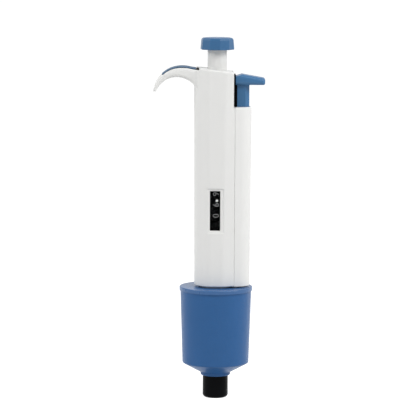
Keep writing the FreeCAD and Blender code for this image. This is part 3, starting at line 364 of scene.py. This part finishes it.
def polygon_field(across, up, outline):
    """Signed distance to a closed outline in a plane."""
    nearest = np.full(np.broadcast(across, up).shape, np.inf)
    inside = np.zeros(nearest.shape, bool)
    for (ax, az), (bx, bz) in zip(outline, np.roll(outline, -1, axis=0)):
        ex, ez = bx - ax, bz - az
        px, pz = across - ax, up - az
        along = np.clip((px * ex + pz * ez) / (ex * ex + ez * ez), 0, 1)
        nearest = np.minimum(nearest, (px - ex * along) ** 2 + (pz - ez * along) ** 2)
        if ez:
            inside ^= ((az > up) != (bz > up)) & (px < ex * pz / ez)
    return np.where(inside, -1, 1) * np.sqrt(nearest)


def box_field(x, y, z, low, high):
    """Signed distance to a box, from its nearest side."""
    sides = [np.maximum(a - v, v - b) for v, a, b in zip((x, y, z), low, high)]
    return np.maximum(np.maximum(sides[0], sides[1]), sides[2])


def steps(*stretches):
    """Grid lines over stretches given as (from, to, step), each starting where one ended."""
    lines = [np.arange(a, b - step / 2, step) for a, b, step in stretches]
    return np.concatenate([*lines, [stretches[-1][1]]])


def slope_of(field, points):
    """The field's gradient at each point."""
    columns = []
    for axis in range(3):
        shift = np.zeros(3)
        shift[axis] = GRADIENT_STEP
        ahead = field(*(points + shift).T)
        behind = field(*(points - shift).T)
        columns.append((ahead - behind) / (2 * GRADIENT_STEP))
    return np.stack(columns, axis=1)


def cut_points(value, lines, axis):
    """Which grid edges along an axis the surface cuts, and where."""
    before = value.take(range(value.shape[axis] - 1), axis)
    after = value.take(range(1, value.shape[axis]), axis)
    cut = (before < 0) != (after < 0)
    share = np.where(cut, before / np.where(cut, before - after, 1), 0)
    places = []
    for other in range(3):
        shape = [1, 1, 1]
        shape[other] = -1
        if other == axis:
            gap = np.diff(lines[other]).reshape(shape)
            place = lines[other][:-1].reshape(shape) + share * gap
        else:
            place = lines[other].reshape(shape)
        places.append(np.where(cut, place, 0.0))
    return cut, np.stack(places, axis=-1), before < 0


def surface_net(field, lines):
    """Points and quads of the surface, one point in each grid cell that it passes through."""
    value = field(lines[0][:, None, None], lines[1][None, :, None], lines[2][None, None, :])
    cells = tuple(n - 1 for n in value.shape)
    total = np.zeros((*cells, 3))
    count = np.zeros(cells)
    cuts = [cut_points(value, lines, axis) for axis in range(3)]
    for axis, (cut, place, _) in enumerate(cuts):
        others = [k for k in range(3) if k != axis]
        for shift in ((0, 0), (0, 1), (1, 0), (1, 1)):
            window = [slice(None)] * 3
            for other, start in zip(others, shift):
                window[other] = slice(start, value.shape[other] - 1 + start)
            total += place[tuple(window)]
            count += cut[tuple(window)]
    used = count > 0
    index = np.full(cells, -1)
    index[used] = np.arange(used.sum())
    points = total[used] / count[used][:, None]
    quads = []
    for axis, (cut, _, inside) in enumerate(cuts):
        second, third = (axis + 1) % 3, (axis + 2) % 3
        at = np.argwhere(cut)
        corners = []
        for shift_second, shift_third in ((1, 1), (0, 1), (0, 0), (1, 0)):
            cell = at.copy()
            cell[:, second] -= shift_second
            cell[:, third] -= shift_third
            corners.append(index[tuple(cell.T)])
        ring = np.stack(corners, axis=1)
        outward = inside[tuple(at.T)]
        quads.append(np.where(outward[:, None], ring, ring[:, ::-1]))
    return points, np.concatenate(quads)


def add_moulding(name, node, field, lines, reach):
    """A piece whose surface is where the field is nought, which stands for a CAD node.

    No point leaves the node's own box, but for the seam's closing, and in one step none moves
    further than the reach."""
    points, quads = surface_net(field, lines)
    low, high = (np.array(corner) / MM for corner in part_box(node))
    high = high + (SEAM_CLOSING, 0, 0)
    for _ in range(NEWTON_STEPS):
        slope = slope_of(field, points)
        steep = np.maximum((slope ** 2).sum(axis=1), LEAST_SLOPE)
        move = -(field(*points.T) / steep)[:, None] * slope
        points = np.clip(points + np.clip(move, -reach, reach), low, high)
    slope = slope_of(field, points)
    normals = slope / np.linalg.norm(slope, axis=1)[:, None]
    piece = new_piece(
        name,
        (points * MM).tolist(),
        quads.tolist(),
        material_of(node),
        frame["nodes"][node]["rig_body"],
        stands_for=node,
    )
    piece.data.validate()
    piece.data.shade_smooth()
    piece.data.normals_split_custom_set_from_vertices(normals.tolist())


# ---------------------------------------------------------------- the handle's main moulding

shell_low, shell_high = in_mm("main_shell")
lens_low, lens_high = in_mm("window_lens")
cover_high = in_mm("ejector_cover")[1]
pad_low, pad_high = in_mm("hook_pad")

FACE = -shell_low.y
HANDLE_RADIUS = FACE + 0.5
NOSE_RADIUS = 9.8
NOSE_OFFSET = 11.4
WALL = 1.8
FLOOR = 2.3
DRAFT = math.tan(math.radians(0.25))
TOP_HIGH = 206.9
TOP_LOW = 203.9
BOTTOM = shell_low.z
CHAMBER_TOP = cover_high.z - 2.0
NECK = 10.6
SEAM = shell_high.x
SLOT_ROOM = 0.8

# The finger hook and the soft strip let into its top.
REACH = -shell_low.x
PAD_GAP = 0.1
PAD_MARGIN = 0.5
PAD_DEPTH = 0.7
PAD_NOTCH = 1.8
PAD_REACH = PAD_GAP - pad_low.x
HOOK_HALF = pad_high.y + PAD_MARGIN
CROWN = 207.0
PAD_END = (pad_high.x + PAD_GAP, CROWN - 0.75)
RISE = (-16.4, CROWN - 0.3)
BEND = (-29.0, CROWN - 0.9)
TIP_HEIGHT = 191.9
TIP_WIDTH = 2.1
TIP = (-REACH, TIP_HEIGHT)
TOP_BEND = 20.0
SIDE_BEND = 18.0
UNDER_TIP_BEND = 13.3
UNDER_CROWN_BEND = 14.8
WEB_FOOT = CROWN - 14.8
WEB_ROOT = -9.0

# How far each edge's rounding reaches.
FACE_ROUNDING = 0.5
TOP_ROUNDING = 0.9
FOOT_ROUNDING = 0.8
HOOK_BLEND = 0.9
HOOK_ROUNDING = 2.6
TIP_ROUNDING = 0.9
STRIP_ROUNDING = 0.5
ROUNDING_GROWTH = 0.14
SEAM_EDGE = 0.08
GROOVE_EDGE = 0.2
HOLLOW_EDGE = 0.15
WINDOW_EDGE = 0.3

# The display: the lens is hidden under an edge, and a shallow bezel lies round the opening.
LENS_EDGE = 1.0
BEZEL_SIDE = 2.3
BEZEL_END = 1.3
BEZEL_DEPTH = 0.5
OPENING_DEPTH = 6
SEAT_SIDE = 1.1
SEAT_BACK = -7
IN_FRONT = 5


def hook_outline():
    """The finger hook's side view: crown, turned-down tip and the web under it."""
    under_tip = (-(REACH - TIP_WIDTH), TIP_HEIGHT)
    under_crown = (-25.6, CROWN - 6.3)
    web = (-(HANDLE_RADIUS + 0.6), CROWN - 11.2)
    return np.array(
        [
            (WEB_ROOT, WEB_FOOT),
            (WEB_ROOT, CROWN - 1.3),
            *arc(RISE, BEND, TOP_BEND),
            *arc(BEND, TIP, SIDE_BEND),
            TIP,
            *arc(under_tip, under_crown, -UNDER_TIP_BEND),
            *arc(under_crown, web, -UNDER_CROWN_BEND),
            web,
            (-(HANDLE_RADIUS - 2.8), WEB_FOOT),
        ]
    )


def strip_outline(depth, gap, notch):
    """The soft strip's side view, along the hook's outer edge as far as the strip reaches."""
    side = [p for p in arc(BEND, TIP, SIDE_BEND, 40) if p[0] > -PAD_REACH + gap]
    outer = [RISE, *arc(RISE, BEND, TOP_BEND)[1:], *side]
    inner = []
    for point, ahead in zip(outer, [*outer[1:], None]):
        behind = outer[len(inner) - 1] if inner else PAD_END
        ahead = point if ahead is None else ahead
        run = np.subtract(ahead, behind)
        inward = np.array((-run[1], run[0])) / np.linalg.norm(run)
        inner.append(np.add(point, inward * depth))
    end = PAD_END[0] - gap + notch
    fall = (RISE[1] - PAD_END[1]) / (PAD_END[0] - RISE[0])
    start = (end, PAD_END[1] + notch * 0.7)
    return np.array([start, *outer, *inner[::-1], (end, PAD_END[1] - depth - notch * fall)])


HOOK = hook_outline()
GROOVE = strip_outline(PAD_DEPTH, 0.0, PAD_NOTCH)
STRIP = strip_outline(PAD_DEPTH - PAD_GAP, PAD_GAP, 0.0)


def egg_field(x, y, inset):
    """Signed distance to the handle's section: two rounds joined by their tangents."""
    big, small = HANDLE_RADIUS - inset, NOSE_RADIUS - inset
    sine = (big - small) / NOSE_OFFSET
    cosine = math.sqrt(1 - sine * sine)
    side = np.abs(y)
    along = x * cosine - side * sine
    flank = side * cosine + x * sine - big
    around_big = np.hypot(x, side) - big
    around_small = np.hypot(x - NOSE_OFFSET, side) - small
    return np.where(along < 0, around_big, np.where(along > cosine * NOSE_OFFSET, around_small, flank))


def hollow_field(x, y, z):
    """The handle's inside: the main chamber, the column above it and the open neck below."""
    half = (CHAMBER_TOP - BOTTOM - FLOOR) / 2
    chamber = np.maximum(egg_field(x, y, WALL), np.abs(z - (BOTTOM + FLOOR + half)) - half)
    column = np.maximum(np.hypot(x, y) - (HANDLE_RADIUS - WALL), x - (SEAM - WALL))
    column = np.maximum(column, CHAMBER_TOP - 0.1 - z)
    neck = np.maximum(np.hypot(x, y) - NECK, z - (BOTTOM + 2 * FLOOR))
    return np.minimum(np.minimum(chamber, column), neck)


def hook_field(x, y, z):
    """The finger hook: its edges are rounded less towards the thin tip."""
    rounding = np.clip(TIP_ROUNDING + ROUNDING_GROWTH * (x + REACH), TIP_ROUNDING, HOOK_ROUNDING)
    return smooth_max(polygon_field(x, z, HOOK), np.abs(y) - HOOK_HALF, rounding)


def window_field(x, y, z):
    """The display's shallow bezel, the opening in it and the lens's seat behind it."""
    left, right = lens_low.x + LENS_EDGE, lens_high.x - LENS_EDGE
    low, high = lens_low.z + LENS_EDGE, lens_high.z - LENS_EDGE
    front = -FACE - IN_FRONT
    bezel = box_field(
        x,
        y,
        z,
        (left - BEZEL_SIDE, front, low - BEZEL_END),
        (right + BEZEL_SIDE, -FACE + BEZEL_DEPTH, high + BEZEL_END),
    )
    opening = box_field(x, y, z, (left, front, low), (right, -FACE + OPENING_DEPTH, high))
    seat = box_field(
        x,
        y,
        z,
        (left - SEAT_SIDE, WALL - HANDLE_RADIUS, low - BEZEL_END),
        (right + SEAT_SIDE, SEAT_BACK, high + BEZEL_END),
    )
    return np.minimum(np.minimum(bezel, opening), seat)


def shell_field(x, y, z):
    """The handle's main moulding with its hook, hollow inside and open at the seam."""
    wall = egg_field(x, y, 0.0) - DRAFT * (z - BOTTOM)
    front = smooth_max(wall, -y - FACE, FACE_ROUNDING)
    fall = (TOP_HIGH - TOP_LOW) / (HANDLE_RADIUS + SEAM)
    top = (z - TOP_HIGH + fall * (x + HANDLE_RADIUS)) / math.hypot(1, fall)
    body = smooth_max(smooth_max(front, top, TOP_ROUNDING), BOTTOM - z, FOOT_ROUNDING)
    whole = smooth_min(body, hook_field(x, y, z), HOOK_BLEND)
    edge = np.where(z > cover_high.z, SEAM - SLOT_ROOM, SEAM + SEAM_CLOSING)
    whole = smooth_max(whole, x - edge, SEAM_EDGE)
    whole = smooth_max(whole, -polygon_field(x, z, GROOVE), GROOVE_EDGE)
    whole = smooth_max(whole, -hollow_field(x, y, z), HOLLOW_EDGE)
    return smooth_max(whole, -window_field(x, y, z), WINDOW_EDGE)


# The grid is fine at the foot, the window and the hook, and coarse on the plain walls between.
SHELL_LINES = (
    steps((-REACH - 1.0, SEAM + 0.7, 0.46)),
    steps((-15.2, 15.2, 0.46)),
    steps(
        (BOTTOM - 0.6, 73.1, 0.4),
        (73.1, 102.7, 2.1),
        (102.7, 132.7, 0.42),
        (132.7, 178.9, 2.1),
        (178.9, CROWN + 1.0, 0.45),
    ),
)
add_moulding("main_shell_moulding", "main_shell", shell_field, SHELL_LINES, 0.5)


def strip_field(x, y, z):
    """The soft strip, with its long edges rounded."""
    across = np.abs(y) - (HOOK_HALF - PAD_MARGIN)
    return smooth_max(polygon_field(x, z, STRIP), across, STRIP_ROUNDING)


STRIP_LINES = (steps((-36, -12, 0.3)), steps((-8.6, 8.6, 0.3)), steps((200.6, 208, 0.3)))
add_moulding("hook_strip", "hook_pad", strip_field, STRIP_LINES, 0.3)


def add_strip_end():
    """A black block at the strip's end, which fills the notch beside the handle's top: painted shade
    for the shadow in the gap there.
    """
    gap = 0.05
    room = 0.2
    proud = 0.35
    fall = 0.1
    inset = 0.4
    left = PAD_END[0] + gap
    right = PAD_END[0] + PAD_NOTCH - room
    low = PAD_END[1] - PAD_DEPTH + gap
    high = PAD_END[1] + proud
    half = HOOK_HALF - inset
    side = [(left, low), (right, low), (right, high - fall), (left, high)]
    points = [(x * MM, y * MM, z * MM) for y in (-half, half) for x, z in side]
    faces = [(0, 1, 2, 3), (7, 6, 5, 4)]
    faces += [(k, k + 4, (k + 1) % 4 + 4, (k + 1) % 4) for k in range(4)]
    # The block's black is painted shade.
    black = MATERIALS["black_plastic"]
    piece = new_piece("strip_end_shade", points, faces, black, "handle")
    piece.data.shade_smooth()
    rounding = piece.modifiers.new("rounding", "BEVEL")
    rounding.width = 0.25 * MM
    rounding.segments = 3
    rounding.harden_normals = True


add_strip_end()

# ---------------------------------------------------------------- the push button

button_low, button_high = in_mm("push_button")
FACETS = 10
FACET_TURN = math.radians(-63.1)
BUTTON_RADIUS = 10.75
BUTTON_FLAT = BUTTON_RADIUS * math.cos(math.pi / FACETS)
BUTTON_TAPER = math.tan(math.radians(4.5))
BUTTON_CORE = 6.15
BUTTON_CROWN = 3.0
FACET_EDGE = 0.12
CROWN_ROUNDING = 1.9
SKIRT_ROUNDING = 0.6
CORE_EDGE = 0.15
BUTTON_STEP = 0.3


def button_field(x, y, z):
    """The faceted push button: it narrows upwards, its top is rounded and its core is open."""
    up = z - button_low.z
    flats = []
    for k in range(FACETS):
        turn = FACET_TURN + 2 * math.pi * k / FACETS
        flats.append(x * math.cos(turn) + y * math.sin(turn) - BUTTON_FLAT + BUTTON_TAPER * up)
    side = flats[0]
    for flat in flats[1:]:
        side = smooth_max(side, flat, FACET_EDGE)
    body = smooth_max(side, z - button_high.z, CROWN_ROUNDING)
    body = smooth_max(body, -up, SKIRT_ROUNDING)
    core = np.maximum(np.hypot(x, y) - BUTTON_CORE, z - (button_high.z - BUTTON_CROWN))
    return smooth_max(body, -core, CORE_EDGE)


BUTTON_LINES = (
    steps((-11.6, 11.6, BUTTON_STEP)),
    steps((-11.6, 11.6, BUTTON_STEP)),
    steps((button_low.z - 0.6, button_high.z + 0.6, 0.26)),
)
add_moulding("push_button_moulding", "push_button", button_field, BUTTON_LINES, 0.4)

# ---------------------------------------------------------------- the slot beside the ejector, darkened with painted shade

# How far the black block of painted shade in the slot keeps from what is round it.
SHADE_SHEET_GAP = 0.02
SHADE_SHEET_TO_LEVER = 0.06
SHADE_SHEET_FOOT = 0.3
SHADE_SHEET_TOP = 1.6
SHADE_SHEET_SIDE = 1.4


def add_slot_liner():
    """A black block on the handle's seam face, behind the ejector's thumb and stem: painted shade for
    the shadow deep in the slot.
    """
    left = SEAM - SLOT_ROOM + SHADE_SHEET_GAP
    right = in_mm("stem_runner")[0].x - SHADE_SHEET_TO_LEVER
    low = cover_high.z + SHADE_SHEET_FOOT
    high = TOP_LOW - SHADE_SHEET_TOP
    half = NOSE_RADIUS - SHADE_SHEET_SIDE
    points = [
        (x * MM, y * MM, z * MM) for x in (left, right) for y in (-half, half) for z in (low, high)
    ]
    faces = [(0, 1, 3, 2), (4, 6, 7, 5), (0, 4, 5, 1), (2, 3, 7, 6), (0, 2, 6, 4), (1, 5, 7, 3)]
    # The black is painted shade: the slot is dark only from its shadow.
    black = MATERIALS["wheel_black"]
    new_piece("slot_shade_sheet", points, faces, black, "handle")


add_slot_liner()

# ---------------------------------------------------------------- springs

# Each spring's joint, and how far it shortens at that joint's limit, in millimetres.
SPRINGS = {
    "primary_spring": ("plunger_press", 11.2),
    "ejector_spring": ("ejector_press", 9.0),
    "blowout_spring": ("washer_yield", 1.6),
}


def add_spring(node):
    """A copy of a spring's CAD mesh that moves with its body: it stands for a CAD node."""
    cad = frame["nodes"][node]
    piece = new_piece(
        f"{node}_coil",
        [tuple(cad.matrix_world @ v.co) for v in cad.data.vertices],
        [list(f.vertices) for f in cad.data.polygons],
        material_of(node),
        cad["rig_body"],
        stands_for=node,
    )
    piece.data.shade_smooth()
    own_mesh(piece)


for spring_name, (spring_joint, spring_travel) in SPRINGS.items():
    add_spring(spring_name)

# ---------------------------------------------------------------- figures on the number wheels

WHEELS = {"tens_wheel": 0, "units_wheel": 6, "tenths_wheel": 9}
FIGURE_SHIFT = -0.35 * MM
FRONT = -math.pi / 2
FIGURE_HEIGHT = 3.7 * MM
FIGURE_PROUD = 0.03 * MM
FIGURES = 10
# The font's strokes are made thinner by this much of its size.
THINNING = -0.016


def glyph(text):
    """The outline of one character as a flat mesh, centred on the origin and 1 unit tall."""
    curve = bpy.data.curves.new(f"glyph_{text}", "FONT")
    curve.body = text
    curve.align_x = "CENTER"
    curve.resolution_u = 6
    curve.offset = THINNING
    holder = bpy.data.objects.new(f"glyph_{text}", curve)
    bpy.context.scene.collection.objects.link(holder)
    bpy.context.view_layer.update()
    mesh = bpy.data.meshes.new_from_object(holder)
    bpy.data.objects.remove(holder)
    bpy.data.curves.remove(curve)
    xs = [v.co.x for v in mesh.vertices]
    ys = [v.co.y for v in mesh.vertices]
    middle = Vector(((min(xs) + max(xs)) / 2, (min(ys) + max(ys)) / 2, 0))
    tall = max(ys) - min(ys)
    for v in mesh.vertices:
        v.co = (v.co - middle) / tall
    return mesh


GLYPHS = [glyph(str(k)) for k in range(FIGURES)]


def add_figures(wheel, shown):
    """Ten figures round a wheel: they read upwards, with the shown one at the window."""
    low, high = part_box(wheel)
    radius = (high.x - low.x) / 2 + FIGURE_PROUD
    middle = (low.z + high.z) / 2
    points, faces = [], []
    for k, outline in enumerate(GLYPHS):
        angle = FRONT - 2 * math.pi / FIGURES * (k - shown)
        start = len(points)
        for v in outline.vertices:
            turn = angle + (FIGURE_SHIFT - v.co.y * FIGURE_HEIGHT) / radius
            height = middle + v.co.x * FIGURE_HEIGHT
            points.append((radius * math.cos(turn), radius * math.sin(turn), height))
        faces += [[start + i for i in f.vertices] for f in outline.polygons]
    body = frame["nodes"][wheel]["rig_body"]
    white = MATERIALS["figure_white"]
    new_piece(f"{wheel}_figures", points, faces, white, body)


for wheel_name, figure in WHEELS.items():
    add_figures(wheel_name, figure)

DOT_RADIUS = 0.8 * MM
DOT_ALONG = 0.3 * MM
DOT_DROP = 0.5 * MM
DOT_GAP = 0.02 * MM
DOT_DEPTH = 0.06 * MM
DOT_SIDES = 24


def add_decimal_point():
    """The white dot just behind the window, between units and tenths."""
    lens_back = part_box("window_lens")[1].y
    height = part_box("units_wheel")[1].z - DOT_DROP
    points = []
    for depth in (lens_back + DOT_GAP, lens_back + DOT_GAP + DOT_DEPTH):
        for k in range(DOT_SIDES):
            angle = 2 * math.pi * k / DOT_SIDES
            across = DOT_ALONG + DOT_RADIUS * math.cos(angle)
            points.append((across, depth, height + DOT_RADIUS * math.sin(angle)))
    faces = [list(range(DOT_SIDES)), [DOT_SIDES + k for k in reversed(range(DOT_SIDES))]]
    for k in range(DOT_SIDES):
        after = (k + 1) % DOT_SIDES
        faces.append([k, DOT_SIDES + k, DOT_SIDES + after, after])
    white = MATERIALS["dot_white"]
    new_piece("decimal_point", points, faces, white, "handle")


add_decimal_point()

# ---------------------------------------------------------------- stage, lamps and camera

AXIS_TO_CAMERA = 1.60
CAMERA_HEIGHT = 0.305
CAMERA_SIDE = -0.00512
PITCH = math.radians(6.707)
ROLL = math.radians(-0.346)
LENS = 219.5
SENSOR = 36.0

FLOOR_SIZE = 30
FLOOR_GLOW = 0.90
FLOOR_GREY = (0.8, 0.8, 0.8, 1.0)
SEEN_GREY = (0.5, 0.5, 0.5, 1.0)
WORLD_LIGHT = 0.31
SOFTBOX_TARGET = (0.0, 0.0, 0.11)
# Each softbox's place, size and power.
SOFTBOXES = {
    "left_softbox": ((-1.05, -0.32, 0.85), (0.5, 0.6), 7.4),
    "right_softbox": ((1.05, -0.30, 0.85), (0.5, 0.6), 6.4),
    "top_softbox": ((0.45, -0.62, 0.98), (0.3, 0.3), 4.4),
}


def seen_directly(tree):
    """1 for a ray from the camera, off a glossy surface or through glass, and 0 for others."""
    path = tree.nodes.new("ShaderNodeLightPath")
    seen = path.outputs["Is Camera Ray"]
    for kind in ("Is Glossy Ray", "Is Transmission Ray"):
        either = tree.nodes.new("ShaderNodeMath")
        either.operation = "MAXIMUM"
        tree.links.new(seen, either.inputs[0])
        tree.links.new(path.outputs[kind], either.inputs[1])
        seen = either.outputs[0]
    return seen


def floor_material():
    """White where it is seen, but for the object's shadow, and plain grey to the light."""
    made = Shader("floor", Roughness=0.9, Base_Color=FLOOR_GREY, Specular_IOR_Level=0.0)
    glow = made.node("ShaderNodeEmission")
    glow.inputs["Strength"].default_value = FLOOR_GLOW
    dim = made.node("ShaderNodeBsdfDiffuse")
    dim.inputs["Color"].default_value = SEEN_GREY
    both = made.node("ShaderNodeAddShader")
    made.link(glow.outputs[0], both.inputs[0])
    made.link(dim.outputs[0], both.inputs[1])
    mix = made.node("ShaderNodeMixShader")
    made.link(seen_directly(made.tree), mix.inputs[0])
    made.link(made.bsdf.outputs[0], mix.inputs[1])
    made.link(both.outputs[0], mix.inputs[2])
    made.link(mix.outputs[0], made.tree.nodes["Material Output"].inputs["Surface"])
    return made.material


def add_floor():
    """A wide plane under the object's lowest point."""
    z = cad_low.z
    corners = [(-1, -1), (1, -1), (1, 1), (-1, 1)]
    mesh = bpy.data.meshes.new("floor")
    mesh.from_pydata([(x * FLOOR_SIZE, y * FLOOR_SIZE, z) for x, y in corners], [], [(0, 1, 2, 3)])
    floor = bpy.data.objects.new("floor", mesh)
    bpy.context.scene.collection.objects.link(floor)
    mesh.materials.append(floor_material())


def add_world():
    """An even white sky: dim as a light, and plain white where it is seen."""
    world = bpy.data.worlds.new("studio")
    bpy.context.scene.world = world
    world.use_nodes = True
    tree = world.node_tree
    background = tree.nodes["Background"]
    background.inputs["Color"].default_value = (1.0, 1.0, 1.0, 1.0)
    level = tree.nodes.new("ShaderNodeMapRange")
    level.inputs["To Min"].default_value = WORLD_LIGHT
    level.inputs["To Max"].default_value = 1.0
    tree.links.new(seen_directly(tree), level.inputs["Value"])
    tree.links.new(level.outputs["Result"], background.inputs["Strength"])


def add_softbox(name, place, size, power):
    """A soft rectangular lamp that points at the object."""
    lamp = bpy.data.lights.new(name, "AREA")
    lamp.shape = "RECTANGLE"
    lamp.size, lamp.size_y = size
    lamp.energy = power
    holder = bpy.data.objects.new(name, lamp)
    bpy.context.scene.collection.objects.link(holder)
    holder.location = place
    aim = Vector(SOFTBOX_TARGET) - Vector(place)
    holder.rotation_euler = aim.to_track_quat("-Z", "Y").to_euler()


def add_camera():
    """The camera at the photograph's viewing angle, before the object and a little above it."""
    camera = bpy.data.objects.new("camera", bpy.data.cameras.new("camera"))
    bpy.context.scene.collection.objects.link(camera)
    camera.data.lens = LENS
    camera.data.sensor_width = SENSOR
    camera.data.clip_end = 100.0
    camera.location = (CAMERA_SIDE, -AXIS_TO_CAMERA, CAMERA_HEIGHT)
    camera.rotation_euler = Euler((math.pi / 2 - PITCH, ROLL, 0.0))
    bpy.context.scene.camera = camera


add_floor()
add_world()
for softbox, (place, size, power) in SOFTBOXES.items():
    add_softbox(softbox, place, size, power)
add_camera()
bpy.context.scene.view_settings.view_transform = "Standard"
